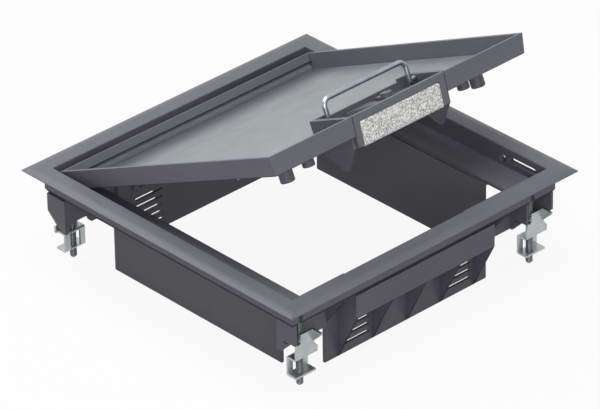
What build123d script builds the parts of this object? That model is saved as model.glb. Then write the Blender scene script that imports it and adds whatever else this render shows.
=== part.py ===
from build123d import *
from math import atan, cos, degrees, radians, sin
import os

# Floor socket box: a square service outlet that is let into a floor. A trim frame with a stepped
# ledge carries four hanging wall panels and four corner guides. A tray-shaped lid hangs on two
# pins that slide in slots of the frame. The lid holds a galvanised plate, a cable outlet with a
# foam block, and a wire bail. Four screws with sheet-metal claws clamp the box under the floor.
#
# Millimetres. Origin at the centre of the rim, at the height of the finished floor (the underside
# of the rim). +Z is up, -Y is the side where the cables leave, +Y is the hinge side.

os.makedirs("parts", exist_ok=True)

# Trim frame
rim_size = 264.0
rim_height = 2.4
rim_edge = 0.6
rim_flat = 8.5
rim_width = 15.0
collar_wall = 4.3
collar_depth = 16.6
collar_chamfer_width = 1.8
collar_chamfer_height = 3.1
ledge_drop = 12.0
ledge_thickness = 2.5
ledge_lip_radius = 1.2
side_ledge = 22.8
end_ledge = 17.0
notch_margin = 10.0
edge_break = 0.5

# Slots for the lid's pins
slot_height = 4.6
slot_drop = 5.2
slot_length = 27.7
front_slot_inset = 12.0
release_hole = 6.0
release_hole_inset = 41.3
release_hole_drop = 6.6

# Wall panels
wall = 2.0
well_depth = 72.0
side_wall_inset = 18.0
end_wall_inset = 19.2
pocket_width = 128.0
pocket_bottom = 32.0
pocket_reach = 4.0
gusset_count = 5
gusset_thickness = 2.2
end_gusset_drop = 41.0
louvre_count = 5
louvre_pitch = 6.0
louvre_height = 2.3
louvre_top = 40.5
louvre_margin = 2.2
panel_clip_width = 5.0
panel_clip_height = 3.0
panel_clip_x = 59.5

# Corner guides
guide_wall = 2.0
guide_side_face = 11.0
guide_side_wall = 1.8
guide_post_face = 14.4
guide_post_wall = 1.8
guide_front_drop = 32.4
guide_wall_drop = 41.5
guide_back_drop = 35.5
guide_post_drop = 30.0
guide_post_foot = 42.5
guide_knee_front = 3.7
guide_knee_back = 5.5
guide_crease_drop = 33.2
guide_crease_height = 1.0
guide_slot_inset = 29.0
guide_slot_drop = 28.5
guide_slot_length = 8.0
guide_slot_height = 2.0
collar_slit_start = 8.7
collar_slit_width = 3.4
collar_slit_top = 3.0

# Clamping screws and claws
claw_inset_x = 10.2
claw_inset_y = 5.5
screw_radius = 2.5
screw_length = 55.0
screw_head_radius = 4.6
screw_head_height = 2.2
screw_socket = 4.0
screw_socket_depth = 1.5
screw_point = 1.0
running_clearance = 0.05
seat_gap = 0.1
head_gap = 0.4
boss_radius = 7.5
boss_floor = 2.0
sheet = 1.5
claw_foot_top = 59.5
claw_left = 7.6
claw_right = 10.2
claw_front = 4.8
claw_back = 4.2
claw_flange_top = 46.0
claw_leg_width = 4.3
claw_plate_top = 28.3
claw_plate_left = 2.9
claw_plate_reach = 7.2
claw_plate_right = 9.2
claw_shoulder_drop = 34.8
claw_heel_reach = 12.1
claw_heel_drop = 42.2
claw_fin_reach = 7.9
claw_notch = 1.8
claw_bend = 1.4

# Lid
lid_clearance = 1.85
lid_height = 13.9
lid_rim = 2.6
lid_draft_inset = 2.0
recess_depth = 11.0
plate_thickness = 1.5
plate_gap = 0.3
lid_flange = 12.0
lid_front_flange = 36.0
lid_edge_fillet = 0.8
open_angle = 25.4
pin_inset = 4.0
pin_radius = 2.0
pin_engagement = 2.3
pin_tip_gap = 0.7
slide_per_radian = 11.5

# Cable outlet in the middle of the lid's free edge
outlet_side_wall = 3.5
outlet_depth = 40.0
outlet_wall = 2.0
cheek_inner = 84.0
bearing_depth = 2.0
cheek_tip_back = 21.0
cheek_tip_drop = 36.3
outlet_floor_drop = 7.5
outlet_floor_front = 13.2
outlet_rear_dip = 2.0
outlet_dip_inset = 9.0
bezel_gap = 0.7
bezel_drop = 21.7
bezel_frame = 5.1
bezel_thickness = 3.2
tray_depth = 11.2
tray_wall = 1.5
tray_drop = 16.0
foam_drop = 22.5
foam_gap = 0.1
flap_pivot_back = 6.2
flap_pivot_drop = 5.2
flap_pin_radius = 1.5
bail_radius = 1.8
bail_inset = 5.2
bail_rise = 11.2
bail_bend = 5.0
bail_back = 30.8
bail_drop = 2.6
bail_foot = 6.2
bail_block = 2.8
catch_x = 9.0
catch_gap = 0.6
catch_length = 22.0
catch_thickness = 2.2
catch_knob_radius = 4.0
catch_knob_top = 0.8

# Pegs under the lid's free side
outer_peg_inset = 28.15
outer_peg_back = 26.4
outer_peg_drop = 26.5
outer_peg_radius = 5.0
inner_peg_inset = 44.45
inner_peg_back = 21.5
inner_peg_drop = 22.3
inner_peg_radius = 4.3
peg_fillet = 1.0
peg_bore_radius = 1.6

# Places that follow from the sizes above
opening = rim_size - 2 * rim_width
half_opening = opening / 2
well_width = opening - 2 * side_ledge
well_length = opening - 2 * end_ledge
side_wall_width = well_length - 2 * side_wall_inset
end_wall_width = well_width - 2 * end_wall_inset
pocket_out = half_opening + pocket_reach
claw_x = half_opening - claw_inset_x
claw_y = half_opening - claw_inset_y
lid_size = opening - 2 * lid_clearance
outlet_width = cheek_inner + 2 * outlet_side_wall
outlet_notch = outlet_width + 2 * notch_margin
bezel_width = cheek_inner - 2 * bezel_gap
bail_span = cheek_inner - 2 * bail_inset
bail_height = bail_rise + bail_drop
catch_back = bail_back - bail_height + bail_radius + catch_gap + 1.5 * catch_knob_radius
outer_peg_x = lid_size / 2 - outer_peg_inset
inner_peg_x = lid_size / 2 - inner_peg_inset
collar_outer = half_opening + collar_wall
skirt_outer = collar_outer - collar_chamfer_width
ledge_bottom = ledge_drop + ledge_thickness
corner_signs = {
    "front_left": (-1, -1),
    "front_right": (1, -1),
    "hinge_right": (1, 1),
    "hinge_left": (-1, 1),
}
pin_depth = rim_height + slot_drop
pin_closed_y = lid_size / 2 - pin_inset
pin_y = pin_closed_y - slide_per_radian * radians(open_angle)
slot_inner_end = pin_closed_y - slot_length
front_slot_end = half_opening - front_slot_inset
release_hole_y = half_opening - release_hole_inset
tilt = radians(open_angle)
lid_draft = degrees(atan(lid_draft_inset / lid_height))

# The lid lies in its own plane: X along the free edge, Y from the free edge to the hinge edge,
# Z out of its top. The side plane has the same origin, with the distance from the free edge and
# the height above the lid's top as its two directions.
lid_origin = (
    0,
    pin_y - (lid_size - pin_inset) * cos(tilt) + pin_depth * sin(tilt),
    -slot_drop + (lid_size - pin_inset) * sin(tilt) + pin_depth * cos(tilt),
)
lid_plane = Plane(origin=lid_origin, x_dir=(1, 0, 0), z_dir=(0, sin(tilt), cos(tilt)))
lid_side = Plane(origin=lid_origin, x_dir=(0, cos(tilt), -sin(tilt)), z_dir=(1, 0, 0))
plate_top = recess_depth
flange_top = recess_depth + plate_thickness

# Trim frame: one section of rim and collar goes round the square, and the ledge fills its foot.
section_plane = Plane(origin=(0, -half_opening, 0), x_dir=(0, -1, 0), z_dir=(-1, 0, 0))
rim_reach = rim_size / 2 - half_opening
with BuildPart() as trim_frame:
    with BuildLine(Plane.XY) as opening_path:
        Polyline(
            (0, -half_opening),
            (half_opening, -half_opening),
            (half_opening, half_opening),
            (-half_opening, half_opening),
            (-half_opening, -half_opening),
            (0, -half_opening),
        )
    with BuildSketch(section_plane):
        with BuildLine():
            Polyline(
                (rim_reach, rim_edge),
                (rim_reach, 0),
                (collar_wall, 0),
                (collar_wall, collar_chamfer_height - collar_depth),
                (collar_wall - collar_chamfer_width, -collar_depth),
                (0, -collar_depth),
                (0, rim_height - edge_break),
                (edge_break, rim_height),
                (rim_flat, rim_height),
            )
            TangentArc((rim_flat, rim_height), (rim_reach, rim_edge), tangent=(1, 0))
        make_face()
    sweep(path=opening_path.wire(), transition=Transition.RIGHT)
    with BuildSketch(Plane.XY.offset(-ledge_drop)):
        Rectangle(opening + collar_wall, opening + collar_wall)
        Rectangle(well_width, well_length, mode=Mode.SUBTRACT)
        with Locations((0, -half_opening), (0, half_opening)):
            Rectangle(outlet_notch, opening - well_length, mode=Mode.SUBTRACT)
    extrude(amount=-ledge_thickness)
    fillet(
        trim_frame.edges()
        .filter_by(Axis.Y)
        .filter_by_position(Axis.Z, -ledge_drop - 0.01, -ledge_drop + 0.01)
        .filter_by(lambda edge: abs(abs(edge.center().X) - well_width / 2) < 0.01),
        ledge_lip_radius,
    )
    with BuildSketch(Plane.XY.offset(-ledge_drop)):
        with GridLocations(2 * claw_x, 2 * claw_y, 2, 2):
            Circle(boss_radius)
        Rectangle(opening, opening, mode=Mode.INTERSECT)
    extrude(amount=-(screw_head_height + head_gap + boss_floor))
    with Locations(Plane.XY.offset(-ledge_drop)):
        with GridLocations(2 * claw_x, 2 * claw_y, 2, 2):
            CounterBoreHole(
                radius=screw_radius + running_clearance,
                counter_bore_radius=screw_head_radius + head_gap,
                counter_bore_depth=screw_head_height + head_gap,
            )
    with BuildSketch(Plane.YZ):
        with Locations(((slot_inner_end + pin_closed_y) / 2, -slot_drop)):
            SlotCenterToCenter(pin_closed_y - slot_inner_end, slot_height)
        with Locations((-(slot_inner_end + front_slot_end) / 2, -slot_drop)):
            SlotCenterToCenter(front_slot_end - slot_inner_end, slot_height)
        with Locations((release_hole_y, -release_hole_drop), (-release_hole_y, -release_hole_drop)):
            Circle(release_hole / 2)
    extrude(amount=rim_size / 2, both=True, mode=Mode.SUBTRACT)
    with BuildSketch(Plane.XY.offset(-collar_slit_top)):
        for side_x, side_y in corner_signs.values():
            slit_x = side_x * claw_x + side_y * (collar_slit_start - collar_slit_width / 2)
            with Locations((slit_x, side_y * (half_opening + collar_wall))):
                Rectangle(collar_slit_width, 2 * collar_wall)
    extrude(amount=-collar_depth, mode=Mode.SUBTRACT)
trim_frame.part.label = "trim_frame"
export_step(trim_frame.part, "parts/trim_frame.step")

# Side wall panels: plain plates with a flange that hangs them under the ledge.
for side_name, side in (("left", -1), ("right", 1)):
    wall_face = side * well_width / 2
    with BuildPart() as side_wall:
        with BuildSketch(Plane.XZ.offset(-side_wall_width / 2)):
            with BuildLine():
                Polyline(
                    (wall_face - side * wall / 2, -ledge_bottom),
                    (wall_face + side * 3 * wall, -ledge_bottom),
                    (wall_face + side * 3 * wall, -collar_depth),
                    (wall_face + side * wall / 2, -collar_depth),
                    (wall_face + side * wall / 2, -well_depth),
                    (wall_face - side * wall / 2, -well_depth),
                    close=True,
                )
            make_face()
        extrude(amount=side_wall_width)
    side_wall.part.label = f"side_wall_{side_name}"
    export_step(side_wall.part, f"parts/side_wall_{side_name}.step")

# Louvred end wall: a pocket for the cable outlet stands out at its top, on five gussets.
wall_inner = -well_length / 2
wall_outer = wall_inner - wall
pocket_floor = -pocket_bottom - wall
gusset_pitch = (pocket_width - gusset_thickness) / (gusset_count - 1)
bay_inner = gusset_pitch + gusset_thickness / 2 + louvre_margin
bay_outer = 2 * gusset_pitch - gusset_thickness / 2 - louvre_margin
louvre_centre = -louvre_top - louvre_pitch * (louvre_count - 1) / 2
with BuildPart() as end_wall_front:
    with BuildSketch(Plane.XZ.offset(-wall_inner)):
        with Locations((0, -(ledge_bottom + well_depth) / 2)):
            Rectangle(end_wall_width, well_depth - ledge_bottom)
        with Locations((0, -(ledge_bottom + pocket_bottom) / 2)):
            Rectangle(outlet_notch, pocket_bottom - ledge_bottom, mode=Mode.SUBTRACT)
    extrude(amount=wall)
    with BuildSketch(Plane.YZ.offset(-pocket_width / 2)):
        with BuildLine():
            Polyline(
                (-pocket_out, -collar_depth),
                (-pocket_out + wall, -collar_depth),
                (-pocket_out + wall, -pocket_bottom),
                (wall_inner, -pocket_bottom),
                (wall_inner, pocket_floor),
                (-pocket_out, pocket_floor),
                close=True,
            )
        make_face()
    extrude(amount=pocket_width)
    pocket_end_planes = [Plane.YZ.offset(-pocket_width / 2), Plane.YZ.offset(pocket_width / 2 - wall)]
    for end_plane in pocket_end_planes:
        with BuildSketch(end_plane):
            with BuildLine():
                Polyline(
                    (-pocket_out, -collar_depth),
                    (wall_outer, -collar_depth),
                    (wall_outer, pocket_floor),
                    (-pocket_out, pocket_floor),
                    close=True,
                )
            make_face()
        extrude(amount=wall)
    gusset_starts = [(index - 2) * gusset_pitch - gusset_thickness / 2 for index in range(gusset_count)]
    for gusset_start in gusset_starts:
        with BuildSketch(Plane.YZ.offset(gusset_start)):
            with BuildLine():
                Polyline(
                    (-pocket_out, pocket_floor),
                    (wall_outer, pocket_floor),
                    (wall_outer, -well_depth),
                    close=True,
                )
            make_face()
        extrude(amount=gusset_thickness)
    for end_start in (-end_wall_width / 2, end_wall_width / 2 - wall):
        with BuildSketch(Plane.YZ.offset(end_start)):
            with BuildLine():
                Polyline(
                    (-skirt_outer, -collar_depth),
                    (wall_outer, -collar_depth),
                    (wall_outer, -end_gusset_drop),
                    close=True,
                )
            make_face()
        extrude(amount=wall)
    bay_spacing = bay_inner + bay_outer
    with BuildSketch(Plane.XZ.offset(-wall_inner)):
        with Locations((0, louvre_centre)):
            with GridLocations(bay_spacing, louvre_pitch, 2, louvre_count):
                Rectangle(bay_outer - bay_inner, louvre_height)
    extrude(amount=wall, mode=Mode.SUBTRACT)
    with BuildSketch(Plane.XZ.offset(-wall_inner)):
        with Locations((-panel_clip_x, -pocket_bottom + wall), (panel_clip_x, -pocket_bottom + wall)):
            Rectangle(panel_clip_width, panel_clip_height)
    extrude(amount=-wall / 2)
end_wall_front.part.label = "end_wall_front"
export_step(end_wall_front.part, "parts/end_wall_front.step")

with BuildPart() as end_wall_hinge:
    add(end_wall_front.part, rotation=(0, 0, 180))
end_wall_hinge.part.label = "end_wall_hinge"
export_step(end_wall_hinge.part, "parts/end_wall_hinge.step")

# Corner guides: a flange under the ledge, a wall at the back of each screw, a slanted wall on one
# side of it and, where the guide ends at the corner, a slanted post on the other side. Each is drawn
# for the front side and turned half a turn for the hinge side.
guide_start = end_wall_width / 2 + seat_gap
guide_back = claw_y + wall_inner - wall
guide_front = skirt_outer - claw_y
inner_end = claw_x - guide_start
flange_end = half_opening - claw_x
for corner, (side_x, side_y) in corner_signs.items():
    has_post = side_x * side_y < 0
    inward = side_x * side_y
    flange_centre = inward * (inner_end - flange_end) / 2
    wall_face = guide_side_face if has_post else guide_post_face
    wall_drop = guide_wall_drop if has_post else guide_post_foot
    with BuildPart() as guide_blank:
        with BuildSketch(Plane.XY.offset(-ledge_bottom)):
            with Locations((flange_centre, (guide_back + claw_y - half_opening) / 2)):
                Rectangle(inner_end + flange_end, guide_back + half_opening - claw_y)
        extrude(amount=ledge_bottom - collar_depth)
        with BuildSketch(Plane.XZ.offset(-guide_back)):
            with BuildLine():
                Polyline(
                    (-guide_side_face, -collar_depth),
                    (-guide_side_face, -guide_wall_drop),
                    (guide_side_wall - guide_side_face, -guide_wall_drop),
                    (2 * guide_side_wall - guide_side_face, -guide_back_drop),
                    (guide_post_face / 2, -guide_back_drop),
                    (guide_post_face - guide_post_wall, -guide_post_foot),
                    (guide_post_face, -guide_post_foot),
                    (guide_post_face, -collar_depth),
                    close=True,
                )
            make_face()
            with Locations((inward * (inner_end + wall_face) / 2, -(collar_depth + wall_drop) / 2)):
                Rectangle(inner_end - wall_face, wall_drop - collar_depth)
            with Locations((inward * (guide_slot_inset - half_opening + claw_x), -guide_slot_drop)):
                Rectangle(guide_slot_length, guide_slot_height, mode=Mode.SUBTRACT)
            with Locations((flange_centre, -(ledge_bottom + collar_depth) / 2)):
                Rectangle(inner_end + flange_end, collar_depth - ledge_bottom)
        extrude(amount=guide_wall)
        with BuildSketch(Plane.YZ.offset(-guide_side_face)):
            with BuildLine():
                Polyline(
                    (guide_back, -collar_depth),
                    (-guide_front, -collar_depth),
                    (-guide_front, -guide_front_drop),
                    (-guide_knee_front, -guide_front_drop),
                    (guide_knee_back, -guide_wall_drop),
                    (guide_back, -guide_wall_drop),
                    close=True,
                )
            make_face()
            with Locations(((guide_knee_back - guide_knee_front) / 2, -guide_crease_drop)):
                Rectangle(guide_knee_front + guide_crease_height, guide_crease_height, mode=Mode.SUBTRACT)
        extrude(amount=guide_side_wall)
        if has_post:
            with BuildSketch(Plane.YZ.offset(guide_post_face - guide_post_wall)):
                with BuildLine():
                    Polyline(
                        (guide_back, -collar_depth),
                        (-guide_front, -collar_depth),
                        (-guide_front, -guide_post_drop),
                        (guide_knee_back, -guide_post_foot),
                        (guide_back, -guide_post_foot),
                        close=True,
                    )
                make_face()
            extrude(amount=guide_post_wall)
        with Locations((0, 0, -ledge_bottom)):
            Cylinder(boss_radius + seat_gap, 2 * (collar_depth - ledge_bottom), mode=Mode.SUBTRACT)
    with BuildPart() as corner_guide:
        with Locations(Plane(origin=(side_x * claw_x, side_y * claw_y, 0), x_dir=(-side_y, 0, 0))):
            add(guide_blank.part)
    corner_guide.part.label = f"corner_guide_{corner}"
    export_step(corner_guide.part, f"parts/corner_guide_{corner}.step")

# Clamping screws: a socket head in the corner of the ledge, a long shank down to the claw's foot.
head_seat = -ledge_drop - screw_head_height - head_gap
for corner, (side_x, side_y) in corner_signs.items():
    with BuildPart() as clamp_screw:
        with Locations((side_x * claw_x, side_y * claw_y, head_seat + seat_gap)):
            Cylinder(
                screw_head_radius, screw_head_height, align=(Align.CENTER, Align.CENTER, Align.MIN)
            )
            Cylinder(screw_radius, screw_length, align=(Align.CENTER, Align.CENTER, Align.MAX))
        chamfer(clamp_screw.faces().sort_by(Axis.Z)[0].edges(), screw_point)
        chamfer(clamp_screw.faces().sort_by(Axis.Z)[-1].edges(), edge_break)
        with BuildSketch(clamp_screw.faces().sort_by(Axis.Z)[-1]):
            RegularPolygon(screw_socket / 2, 6, major_radius=False)
        extrude(amount=-screw_socket_depth, mode=Mode.SUBTRACT)
    clamp_screw.part.label = f"clamp_screw_{corner}"
    export_step(clamp_screw.part, f"parts/clamp_screw_{corner}.step")

# Claws: one strip of sheet with three folds, drawn once round its own screw axis. The screw goes
# through the foot and the flange, two legs join them at the back, and a guide plate stands up at
# the front. The guide plate's fin swings out under the floor.
claw_centre = ((claw_right - claw_left) / 2, (claw_back - claw_front) / 2)
with BuildPart() as claw_blank:
    for sheet_top in (claw_foot_top, claw_flange_top):
        with BuildSketch(Plane.XY.offset(-sheet_top)):
            with Locations(claw_centre):
                Rectangle(claw_left + claw_right, claw_back + claw_front)
            Circle(screw_radius + running_clearance, mode=Mode.SUBTRACT)
        extrude(amount=-sheet)
    with BuildSketch(Plane.XY.offset(-claw_foot_top)):
        leg_y = claw_back - sheet / 2
        leg_inset = claw_leg_width / 2
        with Locations((leg_inset - claw_left, leg_y), (claw_right - leg_inset, leg_y)):
            Rectangle(claw_leg_width, sheet)
    extrude(amount=claw_foot_top - claw_flange_top)
    with BuildSketch(Plane.XZ.offset(claw_front - sheet)):
        with BuildLine():
            Polyline(
                (-claw_plate_reach, -claw_flange_top - sheet),
                (-claw_plate_reach, -claw_shoulder_drop - 3 * claw_notch),
                (-claw_plate_reach + claw_notch / 2, -claw_shoulder_drop),
                (-claw_plate_left - claw_notch, -claw_shoulder_drop - claw_notch / 2),
                (-claw_plate_left, -claw_shoulder_drop),
                (-claw_plate_left, -claw_plate_top),
                (claw_plate_right, -claw_plate_top),
                (claw_plate_right, -claw_heel_drop + claw_notch),
                (claw_heel_reach - claw_notch, -claw_heel_drop + claw_notch),
                (claw_heel_reach, -claw_heel_drop),
                (claw_heel_reach, -claw_flange_top - sheet),
                close=True,
            )
        make_face()
    extrude(amount=sheet)
    with BuildSketch(Plane.YZ.offset(claw_plate_right - sheet)):
        with BuildLine():
            Polyline(
                (sheet - claw_front, -claw_plate_top),
                (-claw_front - claw_fin_reach, -claw_plate_top),
                (-claw_front - claw_fin_reach, -claw_plate_top - sheet),
                (sheet - claw_front, -claw_heel_drop + claw_notch + sheet),
                close=True,
            )
        make_face()
    extrude(amount=sheet)
    claw_folds = claw_blank.edges().filter_by(Axis.X).filter_by(
        lambda edge: abs(edge.center().Y - claw_back) < 0.01
        and (abs(edge.center().Z + claw_flange_top) < 0.01 or abs(edge.center().Z + claw_foot_top + sheet) < 0.01)
        or abs(edge.center().Y + claw_front) < 0.01 and abs(edge.center().Z + claw_flange_top + sheet) < 0.01
    )
    fillet(claw_folds, claw_bend)
for corner, (side_x, side_y) in corner_signs.items():
    with BuildPart() as claw:
        with Locations(Plane(origin=(side_x * claw_x, side_y * claw_y, 0), x_dir=(-side_y, 0, 0))):
            add(claw_blank.part)
    claw.part.label = f"claw_{corner}"
    export_step(claw.part, f"parts/claw_{corner}.step")

# Lid frame: a drafted tray with a flange for the plate and a gap for the cable outlet.
draft_rate = lid_draft_inset / lid_height
lid_centre = (0, lid_size / 2)
with BuildPart() as lid_frame:
    with BuildSketch(lid_plane):
        with Locations(lid_centre):
            Rectangle(lid_size, lid_size)
    extrude(amount=-lid_height, taper=lid_draft)
    fillet(lid_frame.faces().sort_by(Axis(lid_origin, lid_plane.z_dir))[0].edges(), lid_edge_fillet)
    with BuildSketch(lid_plane):
        with Locations(lid_centre):
            Rectangle(lid_size - 2 * lid_rim, lid_size - 2 * lid_rim)
    extrude(amount=-flange_top, taper=lid_draft, mode=Mode.SUBTRACT)
    with BuildSketch(lid_plane.offset(-flange_top)):
        with Locations((0, (lid_front_flange + lid_size - lid_flange) / 2)):
            Rectangle(lid_size - 2 * lid_flange, lid_size - lid_flange - lid_front_flange)
    extrude(amount=-lid_height, mode=Mode.SUBTRACT)
    with BuildSketch(lid_side):
        with BuildLine():
            Polyline(
                (lid_rim, 0),
                (outlet_depth, 0),
                (outlet_depth, -2 * lid_height),
                (lid_rim + 2 * lid_draft_inset, -2 * lid_height),
                close=True,
            )
        make_face()
    extrude(amount=outlet_width / 2, both=True, mode=Mode.SUBTRACT)
    with BuildSketch(lid_side):
        Rectangle(4 * lid_rim, 4 * lid_height)
    extrude(amount=cheek_inner / 2, both=True, mode=Mode.SUBTRACT)
    with BuildSketch(lid_side):
        with Locations((lid_size - pin_inset, -pin_depth)):
            Circle(pin_radius + running_clearance)
    extrude(amount=lid_size / 2, both=True, mode=Mode.SUBTRACT)
lid_frame.part.label = "lid_frame"
export_step(lid_frame.part, "parts/lid_frame.step")

# Galvanised plate in the lid
plate_inset = lid_rim + draft_rate * flange_top + plate_gap
with BuildPart() as lid_plate:
    with BuildSketch(lid_plane.offset(-plate_top)):
        with Locations(lid_centre):
            Rectangle(lid_size - 2 * plate_inset, lid_size - 2 * plate_inset)
        with Locations((0, outlet_depth / 2)):
            Rectangle(outlet_width, outlet_depth, mode=Mode.SUBTRACT)
    extrude(amount=-plate_thickness)
lid_plate.part.label = "lid_plate"
export_step(lid_plate.part, "parts/lid_plate.step")

# The two pins that carry the lid in the slots
with BuildPart() as lid_pins:
    pin_start = lid_size / 2 - lid_rim - draft_rate * pin_depth + pin_tip_gap
    pin_length = half_opening + pin_engagement - pin_start
    for side_x in (-1, 1):
        with BuildSketch(lid_side.offset(side_x * pin_start)):
            with Locations((lid_size - pin_inset, -pin_depth)):
                Circle(pin_radius)
        extrude(amount=side_x * pin_length)
lid_pins.part.label = "lid_pins"
export_step(lid_pins.part, "parts/lid_pins.step")

# Pegs that hang under the free side of the lid
for pegs_name, peg_x, peg_back, peg_drop, peg_radius in (
    ("outer_pegs", outer_peg_x, outer_peg_back, outer_peg_drop, outer_peg_radius),
    ("inner_pegs", inner_peg_x, inner_peg_back, inner_peg_drop, inner_peg_radius),
):
    with BuildPart() as pegs:
        with BuildSketch(lid_plane.offset(-lid_height)):
            with Locations((-peg_x, peg_back), (peg_x, peg_back)):
                Circle(peg_radius)
        extrude(amount=lid_height - peg_drop)
        peg_ends = pegs.faces().sort_by(Axis(lid_origin, lid_plane.z_dir))[:2]
        fillet(peg_ends.edges(), peg_fillet)
        with BuildSketch(lid_plane.offset(-peg_drop)):
            with Locations((-peg_x, peg_back), (peg_x, peg_back)):
                Circle(peg_bore_radius)
        extrude(amount=peg_drop - lid_height - peg_fillet, mode=Mode.SUBTRACT)
    pegs.part.label = pegs_name
    export_step(pegs.part, f"parts/{pegs_name}.step")

# Cable outlet: side walls with hanging cheeks, a rear wall, and the floor of the bail's trough.
with BuildPart() as outlet_housing:
    for side_start in (-outlet_width / 2, cheek_inner / 2):
        with BuildSketch(lid_side.offset(side_start)):
            with BuildLine():
                Polyline(
                    (lid_rim, 0),
                    (outlet_depth, 0),
                    (outlet_depth, -lid_height),
                    (lid_rim + lid_draft_inset, -lid_height),
                    close=True,
                )
            make_face()
        extrude(amount=(outlet_width - cheek_inner) / 2)
    for cheek_start in (-cheek_inner / 2 - outlet_wall, cheek_inner / 2):
        with BuildSketch(lid_side.offset(cheek_start)):
            with BuildLine():
                Polyline(
                    (lid_rim + lid_draft_inset, -lid_height),
                    (lid_rim + lid_draft_inset + 1, -bezel_drop),
                    (cheek_tip_back - outlet_wall, -cheek_tip_drop),
                    (cheek_tip_back + outlet_wall / 2, -cheek_tip_drop),
                    (outlet_depth - outlet_wall, -bezel_drop - outlet_wall),
                    (outlet_depth, -lid_height),
                    close=True,
                )
            make_face()
        extrude(amount=outlet_wall)
    with BuildSketch(lid_side):
        with BuildLine():
            Polyline(
                (outlet_floor_front, -outlet_floor_drop),
                (outlet_depth - outlet_wall, -outlet_floor_drop),
                (outlet_depth - outlet_wall, 0),
                (outlet_depth, 0),
                (outlet_depth, -lid_height),
                (outlet_depth - outlet_wall, -lid_height),
                (outlet_depth - outlet_wall, -outlet_floor_drop - outlet_wall),
                (outlet_floor_front, -outlet_floor_drop - outlet_wall),
                close=True,
            )
        make_face()
    extrude(amount=cheek_inner / 2, both=True)
    with BuildSketch(lid_plane):
        with Locations((0, outlet_depth)):
            Rectangle(cheek_inner - 2 * outlet_dip_inset, 3 * outlet_wall)
    extrude(amount=-outlet_rear_dip, mode=Mode.SUBTRACT)
    with BuildSketch(lid_side):
        with Locations((bail_back, -bail_drop)):
            Circle(bail_radius + running_clearance)
        with Locations((flap_pivot_back, -flap_pivot_drop)):
            Circle(flap_pin_radius + running_clearance)
    extrude(amount=cheek_inner / 2 + bearing_depth, both=True, mode=Mode.SUBTRACT)
outlet_housing.part.label = "outlet_housing"
export_step(outlet_housing.part, "parts/outlet_housing.step")

# Catch in the trough: a tapered tongue with a round knob
with BuildPart() as outlet_catch:
    with BuildSketch(lid_plane.offset(-outlet_floor_drop)):
        with Locations((catch_x, catch_back)):
            Rectangle(2 * catch_knob_radius, 3 * catch_knob_radius)
    extrude(amount=outlet_floor_drop - catch_knob_top - catch_thickness)
    with BuildSketch(lid_plane.offset(-catch_knob_top - catch_thickness)):
        with Locations((catch_x, catch_back - catch_knob_radius / 2)):
            Circle(catch_knob_radius)
    extrude(amount=catch_thickness)
    with BuildSketch(lid_plane.offset(-outlet_floor_drop)):
        with BuildLine():
            Polyline(
                (catch_x - catch_knob_radius, outlet_depth - outlet_wall),
                (catch_x - catch_knob_radius - catch_length, outlet_depth - outlet_wall),
                (catch_x - catch_knob_radius, catch_back - catch_knob_radius),
                close=True,
            )
        make_face()
    extrude(amount=catch_thickness)
outlet_catch.part.label = "outlet_catch"
export_step(outlet_catch.part, "parts/outlet_catch.step")

# Outlet flap: a bezel with a tray behind it that holds the foam, on two short pins
face_foot = draft_rate * bezel_drop
foam_width = bezel_width - 2 * bezel_frame
with BuildPart() as outlet_flap:
    with BuildSketch(lid_side):
        with BuildLine():
            Polyline(
                (0, 0),
                (bezel_thickness, 0),
                (bezel_thickness + face_foot, -bezel_drop),
                (face_foot, -bezel_drop),
                close=True,
            )
        make_face()
    extrude(amount=bezel_width / 2, both=True)
    with BuildSketch(lid_side):
        with BuildLine():
            Polyline(
                (bezel_thickness / 2, tray_wall - bezel_frame),
                (tray_depth, tray_wall - bezel_frame),
                (tray_depth, -tray_drop),
                (bezel_thickness / 2 + draft_rate * tray_drop, -tray_drop),
                close=True,
            )
        make_face()
    extrude(amount=foam_width / 2 + tray_wall, both=True)
    with BuildSketch(lid_plane.offset(-bezel_frame)):
        with Locations((0, tray_depth / 2 - tray_wall)):
            Rectangle(foam_width, tray_depth)
    extrude(amount=-bezel_drop, mode=Mode.SUBTRACT)
    with BuildSketch(lid_side):
        with Locations((flap_pivot_back, -flap_pivot_drop)):
            Circle(flap_pin_radius)
    extrude(amount=cheek_inner / 2 + bearing_depth - head_gap, both=True)
    with BuildSketch(lid_plane.offset(-bezel_frame)):
        with Locations((0, tray_depth / 2 - tray_wall)):
            Rectangle(foam_width, tray_depth)
    extrude(amount=-bezel_drop, mode=Mode.SUBTRACT)
outlet_flap.part.label = "outlet_flap"
export_step(outlet_flap.part, "parts/outlet_flap.step")

# Foam block
with BuildPart() as outlet_foam:
    with BuildSketch(lid_side):
        with BuildLine():
            Polyline(
                (draft_rate * bezel_frame, -bezel_frame),
                (tray_depth - tray_wall, -bezel_frame),
                (tray_depth - tray_wall, -foam_drop),
                (draft_rate * foam_drop, -foam_drop),
                close=True,
            )
        make_face()
    extrude(amount=foam_width / 2, both=True)
outlet_foam.part.label = "outlet_foam"
export_step(outlet_foam.part, "parts/outlet_foam.step")

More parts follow.
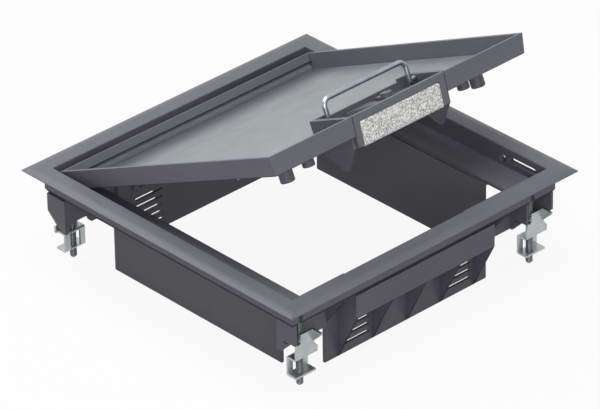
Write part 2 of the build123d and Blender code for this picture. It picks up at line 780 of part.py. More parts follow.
# Wire bail that stands up from the outlet
bail_plane = Plane(origin=lid_side.from_local_coords((bail_back, -bail_drop, 0)), x_dir=(1, 0, 0),
                   z_dir=-lid_plane.y_dir)
with BuildPart() as bail:
    foot_x = cheek_inner / 2 + bearing_depth - head_gap
    with BuildLine(bail_plane) as bail_path:
        Polyline(
            (-foot_x, 0),
            (-bail_span / 2, 0),
            (-bail_span / 2, bail_height),
            (bail_span / 2, bail_height),
            (bail_span / 2, 0),
            (foot_x, 0),
        )
        fillet(bail_path.vertices().sort_by(Axis(lid_origin, lid_plane.z_dir))[-2:], bail_bend)
    with BuildSketch(Plane(origin=bail_path.wire() @ 0, z_dir=bail_path.wire() % 0)):
        Circle(bail_radius)
    sweep(path=bail_path.wire(), transition=Transition.RIGHT)
bail.part.label = "bail"
export_step(bail.part, "parts/bail.step")
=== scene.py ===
"""Looks of a floor socket box: finishes, foam, screw threads and a small studio.

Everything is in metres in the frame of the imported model: the origin is at the centre of the trim
frame at finished-floor level, +Z is up, and the cables leave on the -Y side.
"""

import logging
import math
from dataclasses import dataclass
from enum import Enum
from typing import Any, Callable, Iterable, Mapping, Sequence, Union

import bmesh
import bpy
from mathutils import Matrix, Vector, noise


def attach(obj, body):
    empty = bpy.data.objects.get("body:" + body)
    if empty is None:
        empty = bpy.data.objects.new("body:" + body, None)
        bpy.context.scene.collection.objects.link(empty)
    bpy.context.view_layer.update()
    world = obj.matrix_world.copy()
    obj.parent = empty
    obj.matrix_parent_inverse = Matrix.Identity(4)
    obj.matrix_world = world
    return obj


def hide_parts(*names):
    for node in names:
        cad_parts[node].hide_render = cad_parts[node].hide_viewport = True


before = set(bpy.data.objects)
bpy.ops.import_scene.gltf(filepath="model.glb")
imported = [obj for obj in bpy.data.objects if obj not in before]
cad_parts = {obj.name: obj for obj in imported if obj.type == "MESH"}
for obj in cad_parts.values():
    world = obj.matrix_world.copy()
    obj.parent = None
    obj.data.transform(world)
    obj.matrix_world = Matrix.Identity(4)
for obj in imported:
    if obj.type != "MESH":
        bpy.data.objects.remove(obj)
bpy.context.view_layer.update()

LOG = logging.getLogger("floor_box")
MM = 0.001
Colour = tuple[float, float, float, float]


def grey(red: float, green: float, blue: float) -> Colour:
    """Returns an opaque colour from three linear values."""
    return (red, green, blue, 1.0)


WHITE = grey(1.0, 1.0, 1.0)

# --------------------------------------------------------------------------- the half-open lid


@dataclass(frozen=True)
class LidPlane:
    """The plane of the half-open lid, from the sizes of its slotted hinge."""

    open_angle: float = math.radians(25.4)
    pin_closed_y: float = 111.15
    slide_per_radian: float = 11.5
    pin_z: float = -5.2
    pin_from_edge: float = 226.3
    pin_depth: float = 7.6

    def point(self, across: float, back: float, down: float) -> Vector:
        """Returns a place in the lid.

        Args:
            across: The distance along X, in millimetres.
            back: The distance from the free edge towards the hinge.
            down: The depth under the lid's top.

        Returns:
            The place in metres.
        """
        cosine, sine = math.cos(self.open_angle), math.sin(self.open_angle)
        pin_y = self.pin_closed_y - self.slide_per_radian * self.open_angle
        along, under = back - self.pin_from_edge, down - self.pin_depth
        return Vector((
            across,
            pin_y + along * cosine - under * sine,
            self.pin_z - along * sine - under * cosine,
        )) * MM


LID = LidPlane()


# --------------------------------------------------------------------------- shader expressions


class Signal:
    """One value in a shader tree, to be used in Python expressions."""

    def __init__(self, graph: "Graph", socket: bpy.types.NodeSocket) -> None:
        """Keeps the socket and the graph that new nodes go to.

        Args:
            graph: The tree that holds the socket.
            socket: The output socket that carries the value.
        """
        self.graph = graph
        self.socket = socket

    def math(self, operation: str, *others: "Operand") -> "Signal":
        """Adds one Math node with this value first.

        Args:
            operation: The Math node's operation.
            others: Its further inputs.

        Returns:
            The node's result.
        """
        inputs = dict(enumerate((self, *others)))
        return self.graph.signal("ShaderNodeMath", {"operation": operation}, inputs)

    def __add__(self, other: "Operand") -> "Signal":
        """Returns this value plus another."""
        return self.math("ADD", other)

    def __sub__(self, other: "Operand") -> "Signal":
        """Returns this value minus another."""
        return self.math("SUBTRACT", other)

    def __rsub__(self, other: "Operand") -> "Signal":
        """Returns a number minus this value."""
        return self.graph.signal(
            "ShaderNodeMath", {"operation": "SUBTRACT"}, {0: other, 1: self}
        )

    def __mul__(self, other: "Operand") -> "Signal":
        """Returns this value times another."""
        return self.math("MULTIPLY", other)

    __radd__ = __add__
    __rmul__ = __mul__

    def remap(self, low: float, high: float, to_low: float = 0.0, to_high: float = 1.0) -> "Signal":
        """Maps a range of this value to another range, clamped.

        Args:
            low: The value that becomes to_low.
            high: The value that becomes to_high.
            to_low: The lower result.
            to_high: The upper result.

        Returns:
            The mapped value.
        """
        inputs = {
            "Value": self, "From Min": low, "From Max": high, "To Min": to_low, "To Max": to_high,
        }
        return self.graph.signal("ShaderNodeMapRange", {"clamp": True}, inputs)


Operand = Union[Signal, float]
Wire = Union[Signal, float, Sequence[float]]


class Graph:
    """Adds nodes to one tree."""

    def __init__(self, tree: bpy.types.NodeTree) -> None:
        """Keeps the tree, whose own nodes are removed."""
        self.tree = tree
        self.tree.nodes.clear()

    def node(
        self, kind: str, settings: Mapping[str, Any], inputs: Mapping[Union[str, int], Wire]
    ) -> bpy.types.Node:
        """Adds a node, sets its options, then fills or links its sockets.

        Args:
            kind: The node's type.
            settings: Its properties; the key "stops" fills a colour ramp.
            inputs: Values or signals by socket name or number.

        Returns:
            The new node.
        """
        made = self.tree.nodes.new(kind)
        for key, value in settings.items():
            if key == "stops":
                ramp = made.color_ramp
                while len(ramp.elements) < len(value):
                    ramp.elements.new(0.5)
                for element, (position, colour) in zip(ramp.elements, value):
                    element.position, element.color = position, colour
            else:
                setattr(made, key, value)
        for key, value in inputs.items():
            if isinstance(value, Signal):
                self.tree.links.new(value.socket, made.inputs[key])
            else:
                made.inputs[key].default_value = value
        return made

    def signal(
        self,
        kind: str,
        settings: Mapping[str, Any],
        inputs: Mapping[Union[str, int], Wire],
        output: Union[str, int] = 0,
    ) -> Signal:
        """Adds a node and returns one of its outputs as a signal."""
        return Signal(self, self.node(kind, settings, inputs).outputs[output])


class ShaderGraph(Graph):
    """The node tree of one material."""

    def __init__(self, name: str) -> None:
        """Makes an empty material.

        Args:
            name: The material's name.
        """
        self.material = bpy.data.materials.new(name)
        self.material.use_nodes = True
        super().__init__(self.material.node_tree)

    def place(self, stretch: Sequence[float] = (1.0, 1.0, 1.0)) -> Signal:
        """Returns Object coordinates in metres.

        Args:
            stretch: The scale along each axis.

        Returns:
            The mapped coordinates.
        """
        where = self.signal("ShaderNodeTexCoord", {}, {}, "Object")
        inputs = {"Vector": where, "Scale": stretch}
        return self.signal("ShaderNodeMapping", {"vector_type": "POINT"}, inputs)

    def noise(
        self, where: Signal, scale: float, detail: float = 2.0, roughness: float = 0.5
    ) -> Signal:
        """Returns a noise value.

        Args:
            where: The coordinates.
            scale: Features per metre.
            detail: Octaves of finer noise.
            roughness: How much the finer octaves count.

        Returns:
            A value around 0.5.
        """
        inputs = {"Vector": where, "Scale": scale, "Detail": detail, "Roughness": roughness}
        return self.signal("ShaderNodeTexNoise", {"noise_dimensions": "3D"}, inputs)

    def spangle(self, where: Signal, scale: float) -> Signal:
        """Returns one grey tone for each cell of a Voronoi texture.

        Args:
            where: The coordinates.
            scale: Cells per metre.

        Returns:
            A value from 0 to 1.
        """
        inputs = {"Vector": where, "Scale": scale}
        cells = self.signal("ShaderNodeTexVoronoi", {"feature": "F1"}, inputs, "Color")
        return self.signal("ShaderNodeRGBToBW", {}, {0: cells})

    def ramp(self, value: Signal, stops: Sequence[tuple[float, Colour]]) -> Signal:
        """Returns a colour from a ramp with the given stops."""
        return self.signal("ShaderNodeValToRGB", {"stops": stops}, {0: value})

    def blend(self, factor: Wire, first: Wire, second: Wire, how: str = "MIX") -> Signal:
        """Mixes two colours.

        Args:
            factor: 0 gives the first, 1 the second.
            first: A colour or a colour signal.
            second: A colour or a colour signal.
            how: The blend type.

        Returns:
            The mixed colour.
        """
        settings = {"data_type": "RGBA", "blend_type": how}
        made = self.node("ShaderNodeMix", settings, {0: factor, 6: first, 7: second})
        return Signal(self, made.outputs[2])

    def bump(
        self, height: Signal, depth_mm: float, strength: float, edge_mm: float = 0.0
    ) -> Signal:
        """Returns a normal that is bent by a height value.

        Args:
            height: The height, 0 to 1.
            depth_mm: What a height of 1 stands for.
            strength: The share of the effect.
            edge_mm: The radius that edges look rounded to, 0 for sharp.

        Returns:
            The bent normal.
        """
        inputs = {"Height": height, "Distance": depth_mm * MM, "Strength": strength}
        if edge_mm:
            inputs["Normal"] = self.rounded(edge_mm)
        return self.signal("ShaderNodeBump", {}, inputs)

    def rounded(self, radius_mm: float) -> Signal:
        """Returns a normal that runs softly over edges, as far as the radius."""
        return self.signal("ShaderNodeBevel", {"samples": 4}, {"Radius": radius_mm * MM})

    def edges(self, radius_mm: float) -> Signal:
        """Returns 1 at edges and 0 on flat faces.

        Args:
            radius_mm: How far from an edge the value falls to 0.

        Returns:
            The mask.
        """
        flat = self.signal("ShaderNodeNewGeometry", {}, {}, "Normal")
        inputs = {0: self.rounded(radius_mm), 1: flat}
        dot = self.signal("ShaderNodeVectorMath", {"operation": "DOT_PRODUCT"}, inputs, "Value")
        return (1.0 - dot).remap(0.01, 0.22)

    def principled(self, **sockets: Wire) -> Signal:
        """Returns a Principled shader.

        Args:
            sockets: Its inputs by name, with _ for a space.

        Returns:
            The shader.
        """
        named = {key.replace("_", " "): value for key, value in sockets.items()}
        return self.signal("ShaderNodeBsdfPrincipled", {}, named)

    def finish(self, shader: Signal) -> bpy.types.Material:
        """Ends the tree in a shader and returns the material."""
        self.node("ShaderNodeOutputMaterial", {}, {"Surface": shader})
        return self.material

    def surface(self, **sockets: Wire) -> bpy.types.Material:
        """Ends the tree in one Principled shader and returns the material."""
        return self.finish(self.principled(**sockets))


# --------------------------------------------------------------------------- finishes


@dataclass(frozen=True)
class MouldedPlastic:
    """Dark moulded plastic with a fine spark-eroded grain."""

    name: str = "dark moulding"
    colour: Colour = grey(0.089, 0.089, 0.106)
    worn: Colour = grey(0.110, 0.112, 0.128)
    # The colour of lightened edges: partly wear, partly painted highlight.
    rubbed_and_highlight: Colour = grey(0.160, 0.162, 0.180)
    grain_per_metre: float = 1500.0
    grain_depth_mm: float = 0.03
    roughness: float = 0.46
    edge_mm: float = 0.45
    # Painted shade: the darker matt colour that faces looking down get.
    painted_underside_shade: Colour = grey(0.058, 0.058, 0.068)
    specular: float = 0.25

    def build(self) -> bpy.types.Material:
        """Returns the material.

        It has faint clouds of shade, flow marks and an even grain. Its edges are lightened, partly
        as wear and partly as a painted highlight, and faces that look down are painted darker and
        matt, as painted shade.
        """
        graph = ShaderGraph(self.name)
        where = graph.place()
        clouds = graph.noise(where, 14.0, 3.0)
        grain = graph.noise(where, self.grain_per_metre, 2.0, 0.6)
        flow = graph.noise(graph.place(stretch=(0.2, 1.0, 3.0)), 60.0, 2.0)
        shade = (clouds * 0.7 + flow * 0.3).remap(0.35, 0.65)
        # Edges are lightened where the noise allows: partly wear, partly a painted highlight.
        rubbed_and_highlight = graph.edges(self.edge_mm) * graph.noise(where, 90.0, 3.0, 0.6).remap(0.40, 0.62)
        colour = graph.blend(shade * 0.55, self.colour, self.worn)
        colour = graph.blend(rubbed_and_highlight * 0.5, colour, self.rubbed_and_highlight)
        rough = (grain * 0.10) + (clouds * 0.12) - rubbed_and_highlight * 0.06 + (self.roughness - 0.11)
        glossy = graph.principled(
            Base_Color=colour,
            Roughness=rough,
            IOR=1.5,
            Specular_IOR_Level=self.specular,
            Normal=graph.bump(grain, self.grain_depth_mm, 0.6, self.edge_mm),
        )
        # Painted shade: faces that look down are mixed to a darker matt diffuse with no gloss.
        facing = graph.signal("ShaderNodeTexCoord", {}, {}, "Normal")
        height = graph.signal("ShaderNodeSeparateXYZ", {}, {0: facing}, "Z")
        painted_shade_matt = graph.signal("ShaderNodeBsdfDiffuse", {}, {"Color": self.painted_underside_shade})
        inputs = {0: height.remap(-0.15, -0.45), 1: glossy, 2: painted_shade_matt}
        return graph.finish(graph.signal("ShaderNodeMixShader", {}, inputs))


@dataclass(frozen=True)
class GalvanisedSheet:
    """Zinc-coated sheet with a faint spangle and a dark band of painted reflection along the lid's
    hinge side.

    The painted reflection band's start and end are measured in metres from the lid's free edge.
    """

    name: str = "galvanised sheet"
    colour: Colour = grey(0.20, 0.215, 0.225)
    light: Colour = grey(0.27, 0.29, 0.30)
    # Painted reflection: the dark colour of the band along the hinge side.
    stain_and_reflection_dark: Colour = grey(0.105, 0.108, 0.125)
    # Where the painted reflection band starts and ends, and how much of it shows.
    reflection_from: float = 0.184
    reflection_to: float = 0.209
    reflection_share: float = 0.85
    waviness: float = 0.012
    spangle_per_metre: float = 110.0
    roughness: float = 0.46

    def build(self) -> bpy.types.Material:
        """Returns the material."""
        graph = ShaderGraph(self.name)
        where = graph.place()
        warped = graph.noise(where, 30.0, 2.0)
        tone = graph.spangle(where, self.spangle_per_metre)
        streaks = graph.noise(graph.place(stretch=(1.0, 0.12, 0.12)), 700.0, 2.0, 0.7)
        fine = graph.noise(where, 1400.0, 2.0, 0.7)
        shade = (tone * 0.18 + warped * 0.30 + streaks * 0.12 + fine * 0.40).remap(0.3, 0.7)
        rough = shade * 0.06 + (self.roughness - 0.03)
        along = Vector((0.0, math.cos(LID.open_angle), -math.sin(LID.open_angle)))
        inputs = {0: where, 1: along}
        back = graph.signal("ShaderNodeVectorMath", {"operation": "DOT_PRODUCT"}, inputs, "Value")
        edge = along.dot(LID.point(0.0, 0.0, 0.0)) + self.waviness / 2
        back = back + warped * self.waviness - edge
        # Painted reflection: a dark band near the hinge stands in for the reflection of the dark
        # hinge wall.
        painted_reflection = back.remap(self.reflection_from, self.reflection_to) * self.reflection_share
        return graph.surface(
            Base_Color=graph.blend(painted_reflection, graph.blend(shade, self.colour, self.light), self.stain_and_reflection_dark),
            Metallic=0.85,
            Roughness=rough,
            Normal=graph.bump(fine * 0.8 + streaks * 0.2, 0.012, 0.5),
        )


@dataclass(frozen=True)
class ZincPlate:
    """Zinc-plated steel of the claws and screws, a little uneven, with edges lightened partly as
    wear and partly as a painted highlight.
    """

    name: str = "zinc plate"
    colour: Colour = grey(0.50, 0.53, 0.53)
    stain_and_reflection_dark: Colour = grey(0.40, 0.43, 0.43)
    # The colour of lightened edges: partly wear, partly painted highlight.
    bright: Colour = grey(0.72, 0.75, 0.75)
    roughness: float = 0.36
    edge_mm: float = 0.15

    def build(self) -> bpy.types.Material:
        """Returns the material."""
        graph = ShaderGraph(self.name)
        where = graph.place()
        stains = graph.noise(where, 160.0, 4.0, 0.6)
        fine = graph.noise(where, 2200.0, 2.0, 0.6)
        shade = (stains * 0.7 + fine * 0.3).remap(0.36, 0.66)
        # Every edge is lightened towards the bright colour: partly wear, partly a painted
        # highlight.
        rubbed_and_highlight = graph.edges(self.edge_mm)
        plated = graph.blend(shade, self.stain_and_reflection_dark, self.colour)
        return graph.surface(
            Base_Color=graph.blend(rubbed_and_highlight * 0.6, plated, self.bright),
            Metallic=0.9,
            Roughness=shade * -0.05 + (self.roughness + 0.03),
            Normal=graph.bump(fine, 0.015, 0.5, self.edge_mm),
        )


@dataclass(frozen=True)
class BrightWire:
    """Drawn steel wire with fine lines along it."""

    name: str = "bright wire"
    colour: Colour = grey(0.27, 0.30, 0.335)
    light: Colour = grey(0.34, 0.37, 0.40)
    roughness: float = 0.34

    def build(self) -> bpy.types.Material:
        """Returns the material."""
        graph = ShaderGraph(self.name)
        lines = graph.noise(graph.place(stretch=(0.03, 1.0, 1.0)), 2600.0, 2.0, 0.6)
        clouds = graph.noise(graph.place(), 200.0, 3.0)
        shade = (lines * 0.5 + clouds * 0.5).remap(0.35, 0.65)
        return graph.surface(
            Base_Color=graph.blend(shade, self.colour, self.light),
            Metallic=0.95,
            Roughness=shade * 0.10 + (self.roughness - 0.05),
            Normal=graph.bump(lines, 0.01, 0.5),
        )


@dataclass(frozen=True)
class SpeckledFoam:
    """Pale open-cell foam with dark pores."""

    name: str = "speckled foam"
    pale: Colour = grey(0.76, 0.76, 0.75)
    pore: Colour = grey(0.28, 0.28, 0.275)
    cells_per_metre: float = 740.0

    def build(self) -> bpy.types.Material:
        """Returns the material."""
        graph = ShaderGraph(self.name)
        where = graph.place()
        coarse = graph.noise(where, self.cells_per_metre, 3.0, 0.75)
        fine = graph.noise(where, self.cells_per_metre * 2.6, 2.0, 0.7)
        pores = (coarse * 0.75 + fine * 0.25).remap(0.42, 0.54)
        tint = graph.noise(where, 60.0, 2.0).remap(0.35, 0.65, 0.9, 1.0)
        colour = graph.blend(pores, self.pore, self.pale)
        return graph.surface(
            Base_Color=graph.blend(1.0, colour, graph.ramp(tint, [
                (0.0, grey(0.8, 0.8, 0.8)), (1.0, WHITE),
            ]), "MULTIPLY"),
            Roughness=0.95,
            Specular_IOR_Level=0.1,
            Normal=graph.bump(pores, 0.5, 0.8),
        )


class Finish(Enum):
    """The finishes of the box, named after the record's slots."""

    MOULDING = "moulding"
    SHEET = "galvanised_plate"
    ZINC = "zinc_steel"
    SCREW = "screw_steel"
    WIRE = "wire"
    FOAM = "foam"


FINISHES = {
    Finish.MOULDING: MouldedPlastic(),
    Finish.SHEET: GalvanisedSheet(),
    Finish.ZINC: ZincPlate(),
    Finish.SCREW: ZincPlate(
        name="screw steel",
        colour=grey(0.20, 0.215, 0.22),
        stain_and_reflection_dark=grey(0.12, 0.13, 0.135),
        # The screws' edge colour: partly wear, partly painted highlight.
        bright=grey(0.45, 0.47, 0.48),
        roughness=0.30,
    ),
    Finish.WIRE: BrightWire(),
    Finish.FOAM: SpeckledFoam(),
}


class Paint:
    """Builds each finish once and gives it to nodes and pieces."""

    def __init__(self) -> None:
        """Starts with nothing built."""
        self.built: dict[Finish, bpy.types.Material] = {}

    def of(self, finish: Finish) -> bpy.types.Material:
        """Returns the material of a finish, and builds it the first time."""
        if finish not in self.built:
            self.built[finish] = FINISHES[finish].build()
        return self.built[finish]

    def node(self, name: str, finish: Finish) -> None:
        """Gives a carried-over node its finish.

        Args:
            name: The node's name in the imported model.
            finish: The finish to give it.
        """
        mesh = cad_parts[name].data
        mesh.materials.clear()
        mesh.materials.append(self.of(finish))
        LOG.info("node %s: %s", name, finish.value)

    def piece(self, mesh: bpy.types.Mesh, name: str, body: str, finish: Finish) -> bpy.types.Object:
        """Makes a shown piece from a mesh.

        Args:
            mesh: The mesh, in place in the frame.
            name: The piece's name.
            body: The body it moves with.
            finish: Its finish.

        Returns:
            The new object.
        """
        made = bpy.data.objects.new(name, mesh)
        bpy.context.scene.collection.objects.link(made)
        if not mesh.materials:
            mesh.materials.append(self.of(finish))
        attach(made, body)
        LOG.info("piece %s on %s: %d faces", name, body, len(mesh.polygons))
        return made


# --------------------------------------------------------------------------- places


CORNERS = {
    "front_left": (-1.0, -1.0),
    "front_right": (1.0, -1.0),
    "hinge_right": (1.0, 1.0),
    "hinge_left": (-1.0, 1.0),
}


def mesh_from(name: str, build: bmesh.types.BMesh) -> bpy.types.Mesh:
    """Turns a bmesh into a mesh with outward faces.

    Args:
        name: The mesh's name.
        build: The finished bmesh, which is freed.

    Returns:
        The mesh.
    """
    bmesh.ops.remove_doubles(build, verts=build.verts, dist=1e-6)
    bmesh.ops.recalc_face_normals(build, faces=build.faces)
    mesh = bpy.data.meshes.new(name)
    build.to_mesh(mesh)
    build.free()
    return mesh


def settled(mesh: bpy.types.Mesh, change: Callable[[bpy.types.Object], None]) -> bpy.types.Mesh:
    """Gives a mesh a modifier on an object of its own and returns the plain result.

    Args:
        mesh: The mesh to start from.
        change: Adds and fills the modifier.

    Returns:
        The evaluated mesh.
    """
    holder = bpy.data.objects.new(mesh.name, mesh)
    bpy.context.scene.collection.objects.link(holder)
    change(holder)
    graph = bpy.context.evaluated_depsgraph_get()
    result = bpy.data.meshes.new_from_object(holder.evaluated_get(graph))
    holder.modifiers.clear()
    bpy.data.objects.remove(holder)
    return result


# --------------------------------------------------------------------------- sub-assemblies


@dataclass
class FloorFrame:
    """The trim frame, its hanging walls and the corner guides."""

    mouldings: tuple[str, ...] = (
        "trim_frame", "side_wall_left", "side_wall_right", "end_wall_front", "end_wall_hinge",
    )

    def dress(self, paint: Paint) -> None:
        """Gives every moulding its finish.

        Args:
            paint: The finishes.
        """
        for name in self.mouldings:
            paint.node(name, Finish.MOULDING)
        for corner in CORNERS:
            paint.node(f"corner_guide_{corner}", Finish.MOULDING)


@dataclass
class FoamBlock:
    """The foam in the cable outlet: a block with rounded upper corners and a torn-cell skin."""

    half_width: float = 36.3
    top: float = 5.1
    bottom: float = 22.5
    back: float = 9.7
    draft: float = 2.0 / 13.9
    corner_radius: float = 2.2
    step: float = 1.0
    pore_depth: float = 0.28

    def outline(self) -> list[tuple[float, float]]:
        """Returns the front outline as (across, down) points in millimetres."""
        radius, points = self.corner_radius, []
        corners = [
            (self.half_width - radius, self.top + radius, -90.0, 0.0),
            (-self.half_width + radius, self.top + radius, 180.0, 270.0),
        ]
        for across, down, start, end in corners:
            for index in range(5):
                angle = math.radians(start + (end - start) * index / 4)
                points.append((across + radius * math.cos(angle), down + radius * math.sin(angle)))
        ordered = [points[4], (self.half_width, self.bottom), (-self.half_width, self.bottom)]
        ordered += points[5:] + points[:4]
        return ordered

    def build(self, paint: Paint) -> None:
        """Builds the block and lets it stand for the plain solid.

        Args:
            paint: The finishes.
        """
        build = bmesh.new()
        rings = []
        for depth in (0.0, 1.0):
            ring = []
            for across, down in self.outline():
                front = self.draft * down
                back = front + (self.back - front) * depth
                ring.append(build.verts.new(LID.point(across, back, down)))
            rings.append(ring)
        count = len(rings[0])
        for index in range(count):
            after = (index + 1) % count
            build.faces.new((rings[0][index], rings[0][after], rings[1][after], rings[1][index]))
        build.faces.new(rings[0])
        build.faces.new(list(reversed(rings[1])))
        fine = settled(mesh_from("foam_outline", build), self.add_cells)
        self.roughen(fine)
        block = paint.piece(fine, "foam_block", "flap", Finish.FOAM)
        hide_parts("outlet_foam")

    def add_cells(self, holder: bpy.types.Object) -> None:
        """Adds the modifier that meshes the block finely."""
        remesh = holder.modifiers.new("cells", "REMESH")
        remesh.mode, remesh.voxel_size = "VOXEL", self.step * MM

    def roughen(self, fine: bpy.types.Mesh) -> None:
        """Lets the block's skin rise and fall by a noise.

        Args:
            fine: The finely meshed block.
        """
        for vertex in fine.vertices:
            place = vertex.co * 900.0
            depth = noise.noise(place) * 0.6 + noise.noise(place * 2.3) * 0.4
            vertex.co = vertex.co + vertex.normal * (min(depth, 0.15) * self.pore_depth * MM)
        fine.polygons.foreach_set("use_smooth", [True] * len(fine.polygons))


@dataclass
class Lid:
    """The tray lid with its plate, pins and pegs."""

    mouldings: tuple[str, ...] = (
        "lid_frame", "outlet_housing", "outlet_catch", "outlet_flap", "outer_pegs", "inner_pegs",
    )

    def dress(self, paint: Paint) -> None:
        """Gives the lid's nodes their finishes.

        Args:
            paint: The finishes.
        """
        for name in self.mouldings:
            paint.node(name, Finish.MOULDING)
        paint.node("lid_plate", Finish.SHEET)
        paint.node("lid_pins", Finish.WIRE)
        paint.node("bail", Finish.WIRE)


class ThreadGraph(Graph):
    """A Geometry Nodes tree that winds a thread's ridge round a screw."""

    INPUTS = (
        ("Screw", "NodeSocketGeometry"),
        ("Pitch", "NodeSocketFloat"),
        ("Turns", "NodeSocketFloat"),
        ("Radius", "NodeSocketFloat"),
        ("Ridge", "NodeSocketFloat"),
        ("Foot", "NodeSocketVector"),
        ("Finish", "NodeSocketMaterial"),
    )
    STEPS_PER_TURN = 20
    RIDGE_SIDES = 6

    def __init__(self) -> None:
        """Builds the tree."""
        super().__init__(bpy.data.node_groups.new("thread", "GeometryNodeTree"))
        self.keys: dict[str, str] = {}
        for name, kind in self.INPUTS:
            made = self.tree.interface.new_socket(name, in_out="INPUT", socket_type=kind)
            self.keys[name] = made.identifier
        self.tree.interface.new_socket(
            "Result", in_out="OUTPUT", socket_type="NodeSocketGeometry"
        )
        sockets = self.node("NodeGroupInput", {}, {}).outputs
        given = {name: Signal(self, sockets[name]) for name in self.keys}
        helix = self.signal("GeometryNodeCurveSpiral", {}, {
            "Resolution": self.STEPS_PER_TURN,
            "Rotations": given["Turns"],
            "Start Radius": given["Radius"],
            "End Radius": given["Radius"],
            "Height": given["Pitch"] * given["Turns"],
        })
        profile = self.signal(
            "GeometryNodeCurvePrimitiveCircle", {"mode": "RADIUS"},
            {"Resolution": self.RIDGE_SIDES, "Radius": given["Ridge"]},
        )
        ridge = self.signal(
            "GeometryNodeCurveToMesh", {},
            {"Curve": helix, "Profile Curve": profile, "Fill Caps": True},
        )
        placed = self.signal(
            "GeometryNodeTransform", {}, {"Geometry": ridge, "Translation": given["Foot"]}
        )
        joined = self.node("GeometryNodeJoinGeometry", {}, {0: placed})
        self.tree.links.new(given["Screw"].socket, joined.inputs[0])
        real = self.signal("GeometryNodeRealizeInstances", {}, {0: Signal(self, joined.outputs[0])})
        painted = self.signal(
            "GeometryNodeSetMaterial", {}, {"Geometry": real, "Material": given["Finish"]}
        )
        self.node("NodeGroupOutput", {}, {0: painted})

    def wind(self, holder: bpy.types.Object, values: Mapping[str, Any]) -> None:
        """Puts the tree on an object.

        Args:
            holder: The object with the plain screw.
            values: The tree's inputs by name.
        """
        modifier = holder.modifiers.new("thread", "NODES")
        modifier.node_group = self.tree
        for name, value in values.items():
            modifier[self.keys[name]] = value


@dataclass
class ClampScrew:
    """One clamping screw: a round head with a hexagon socket, a core and a wound thread.

    Sizes are in millimetres, heights from the finished floor.
    """

    corner: str
    centre: tuple[float, float]
    sides: int = 24
    head_radius: float = 4.6
    head_top: float = -12.3
    head_bottom: float = -14.5
    socket_flats: float = 4.0
    socket_depth: float = 1.5
    core_radius: float = 2.12
    crest_radius: float = 2.5
    neck_end: float = -16.6
    tip: float = -69.5
    pitch: float = 0.8

    def hexagon(self, angle: float) -> float:
        """Returns the socket's radius in one direction."""
        return self.socket_flats / 2 / math.cos((angle + math.pi / 6) % (math.pi / 3) - math.pi / 6)

    def rings(self) -> list[tuple[float, float]]:
        """Returns the radius, 0 for the hexagon, and height of each ring, from socket to tip."""
        return [
            (0.0, self.head_top - self.socket_depth),
            (0.0, self.head_top),
            (self.head_radius - 0.3, self.head_top),
            (self.head_radius, self.head_top - 0.3),
            (self.head_radius, self.head_bottom),
            (self.crest_radius - 0.05, self.head_bottom),
            (self.crest_radius - 0.05, self.neck_end + 0.3),
            (self.core_radius, self.neck_end),
            (self.core_radius, self.tip + 1.0),
            (self.core_radius - 0.9, self.tip),
        ]

    def plain(self) -> bpy.types.Mesh:
        """Returns the screw without its thread."""
        build = bmesh.new()
        loops = []
        for radius, height in self.rings():
            loop = []
            for index in range(self.sides):
                angle = 2 * math.pi * index / self.sides
                reach = radius or self.hexagon(angle)
                loop.append(build.verts.new(Vector((
                    self.centre[0] + reach * math.cos(angle),
                    self.centre[1] + reach * math.sin(angle),
                    height,
                )) * MM))
            loops.append(loop)
        for upper, lower in zip(loops, loops[1:]):
            for index in range(self.sides):
                after = (index + 1) % self.sides
                build.faces.new((upper[index], lower[index], lower[after], upper[after]))
        build.faces.new(loops[0])
        build.faces.new(loops[-1])
        return mesh_from(f"screw_core_{self.corner}", build)

    def build(self, paint: Paint, thread: ThreadGraph) -> None:
        """Builds the threaded screw and lets it stand for the plain solid.

        Args:
            paint: The finishes.
            thread: The tree that winds the ridge.
        """
        ridge = self.crest_radius - self.core_radius
        foot = self.tip + 1.0 + ridge
        values = {
            "Pitch": self.pitch * MM,
            "Turns": math.floor((self.neck_end - foot) / self.pitch),
            "Radius": self.core_radius * MM,
            "Ridge": ridge * MM,
            "Foot": (self.centre[0] * MM, self.centre[1] * MM, foot * MM),
            "Finish": paint.of(Finish.SCREW),
        }
        mesh = settled(self.plain(), lambda holder: thread.wind(holder, values))
        made = paint.piece(
            mesh, f"threaded_screw_{self.corner}", f"screw_{self.corner}", Finish.SCREW
        )
        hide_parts(f"clamp_screw_{self.corner}")


@dataclass
class ClampSet:
    """The four clamping screws and their claws."""

    screw_at: tuple[float, float] = (106.8, 111.5)

    def build(self, paint: Paint) -> None:
        """Gives the claws their finish and builds the threaded screws.

        Args:
            paint: The finishes.
        """
        thread = ThreadGraph()
        for corner, (right, far) in CORNERS.items():
            paint.node(f"claw_{corner}", Finish.ZINC)
            centre = (right * self.screw_at[0], far * self.screw_at[1])
            ClampScrew(corner, centre).build(paint, thread)


# --------------------------------------------------------------------------- studio


@dataclass(frozen=True)
class Lamp:
    """One soft area lamp that points at the box."""

    name: str
    place: tuple[float, float, float]
    size: float
    watts: float

    def build(self) -> None:
        """Adds the lamp."""
        data = bpy.data.lights.new(self.name, "AREA")
        data.size, data.energy, data.shape = self.size, self.watts, "DISK"
        made = bpy.data.objects.new(self.name, data)
        made.location = self.place
        made.rotation_mode = "QUATERNION"
        made.rotation_quaternion = (-Vector(self.place)).to_track_quat("-Z", "Y")
        bpy.context.scene.collection.objects.link(made)


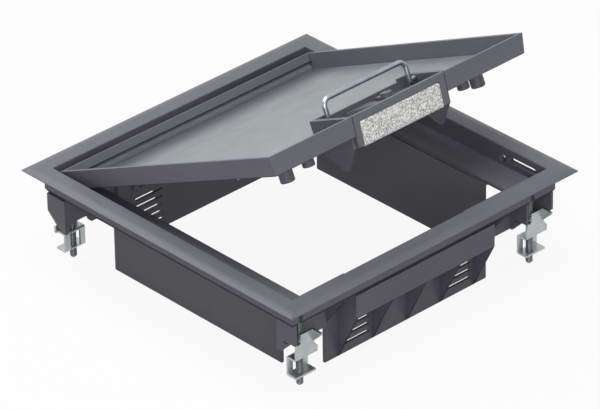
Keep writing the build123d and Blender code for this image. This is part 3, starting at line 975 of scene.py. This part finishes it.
@dataclass
class Studio:
    """A pale floor, a white surround, soft lamps and the camera at the photo's angle."""

    azimuth: float = -43.01
    elevation: float = 31.22
    roll: float = -0.94
    distance: float = 3.53546
    shift_right: float = 0.42 * MM
    shift_up: float = -22.41 * MM
    lens: float = 316.38
    floor_z: float = -0.0725
    floor_shade: float = 0.48
    floor_white: float = 0.92
    surround: float = 0.16
    lamps: tuple[Lamp, ...] = (
        Lamp("key", (-0.30, -0.35, 2.30), 1.5, 62.0),
        Lamp("back", (-0.40, 1.80, 1.75), 2.2, 46.0),
        Lamp("front", (-1.20, -1.55, 0.90), 1.2, 21.0),
    )

    def white_when_seen(self, graph: Graph, lit: Signal, white: Signal, share: float) -> Signal:
        """Mixes a white glow over a shader for rays that look at the backdrop.

        Args:
            graph: The tree to add to.
            lit: The shader that lights and shades the scene.
            white: The white shader that the camera and reflections see.
            share: How much of the white covers it.

        Returns:
            The mixed shader.
        """
        paths = graph.node("ShaderNodeLightPath", {}, {}).outputs
        camera, glossy, through = (
            Signal(graph, paths[f"Is {kind} Ray"]) for kind in ("Camera", "Glossy", "Transmission")
        )
        seen = camera.math("MAXIMUM", glossy).math("MAXIMUM", through) * share
        return graph.signal("ShaderNodeMixShader", {}, {0: seen, 1: lit, 2: white})

    def build_floor(self) -> None:
        """Adds the pale floor under the box."""
        build = bmesh.new()
        bmesh.ops.create_grid(build, x_segments=1, y_segments=1, size=6.0)
        mesh = mesh_from("studio_floor", build)
        mesh.transform(Matrix.Translation((0.0, 0.0, self.floor_z)))
        floor = bpy.data.objects.new("studio_floor", mesh)
        bpy.context.scene.collection.objects.link(floor)
        graph = ShaderGraph("studio floor")
        shade = grey(self.floor_shade, self.floor_shade, self.floor_shade)
        pale = graph.signal("ShaderNodeBsdfDiffuse", {}, {"Color": shade})
        white = graph.signal("ShaderNodeEmission", {}, {"Color": WHITE, "Strength": 1.0})
        mixed = self.white_when_seen(graph, pale, white, self.floor_white)
        mesh.materials.append(graph.finish(mixed))

    def build_surround(self) -> None:
        """Sets the world: a soft even light that the camera sees as white."""
        world = bpy.data.worlds.new("surround")
        world.use_nodes = True
        graph = Graph(world.node_tree)
        soft = graph.signal("ShaderNodeBackground", {}, {"Strength": self.surround})
        white = graph.signal("ShaderNodeBackground", {}, {"Color": WHITE, "Strength": 1.0})
        mixed = self.white_when_seen(graph, soft, white, 1.0)
        graph.node("ShaderNodeOutputWorld", {}, {"Surface": mixed})
        bpy.context.scene.world = world

    def build_camera(self) -> None:
        """Adds the camera where the photo was taken from."""
        azimuth, elevation, roll = map(math.radians, (self.azimuth, self.elevation, self.roll))
        back = Vector((
            math.sin(azimuth) * math.cos(elevation),
            -math.cos(azimuth) * math.cos(elevation),
            math.sin(elevation),
        ))
        level = Vector((0.0, 0.0, 1.0)).cross(back).normalized()
        upright = back.cross(level)
        right = level * math.cos(roll) + upright * math.sin(roll)
        up = upright * math.cos(roll) - level * math.sin(roll)
        data = bpy.data.cameras.new("camera")
        data.lens, data.sensor_width, data.clip_end = self.lens, 36.0, 20.0
        camera = bpy.data.objects.new("camera", data)
        turn = Matrix((right, up, back)).transposed().to_4x4()
        place = back * self.distance + right * self.shift_right + up * self.shift_up
        camera.matrix_world = Matrix.Translation(place) @ turn
        bpy.context.scene.collection.objects.link(camera)
        bpy.context.scene.camera = camera

    def build(self) -> None:
        """Sets up floor, surround, lamps and camera."""
        bpy.context.scene.view_settings.view_transform = "Standard"
        self.build_camera()
        self.build_floor()
        self.build_surround()
        for lamp in self.lamps:
            lamp.build()


def main() -> None:
    """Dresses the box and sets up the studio."""
    logging.basicConfig(level=logging.INFO, format="%(message)s")
    paint = Paint()
    Studio().build()
    FloorFrame().dress(paint)
    Lid().dress(paint)
    FoamBlock().build(paint)
    ClampSet().build(paint)


if __name__ == "__main__":
    main()
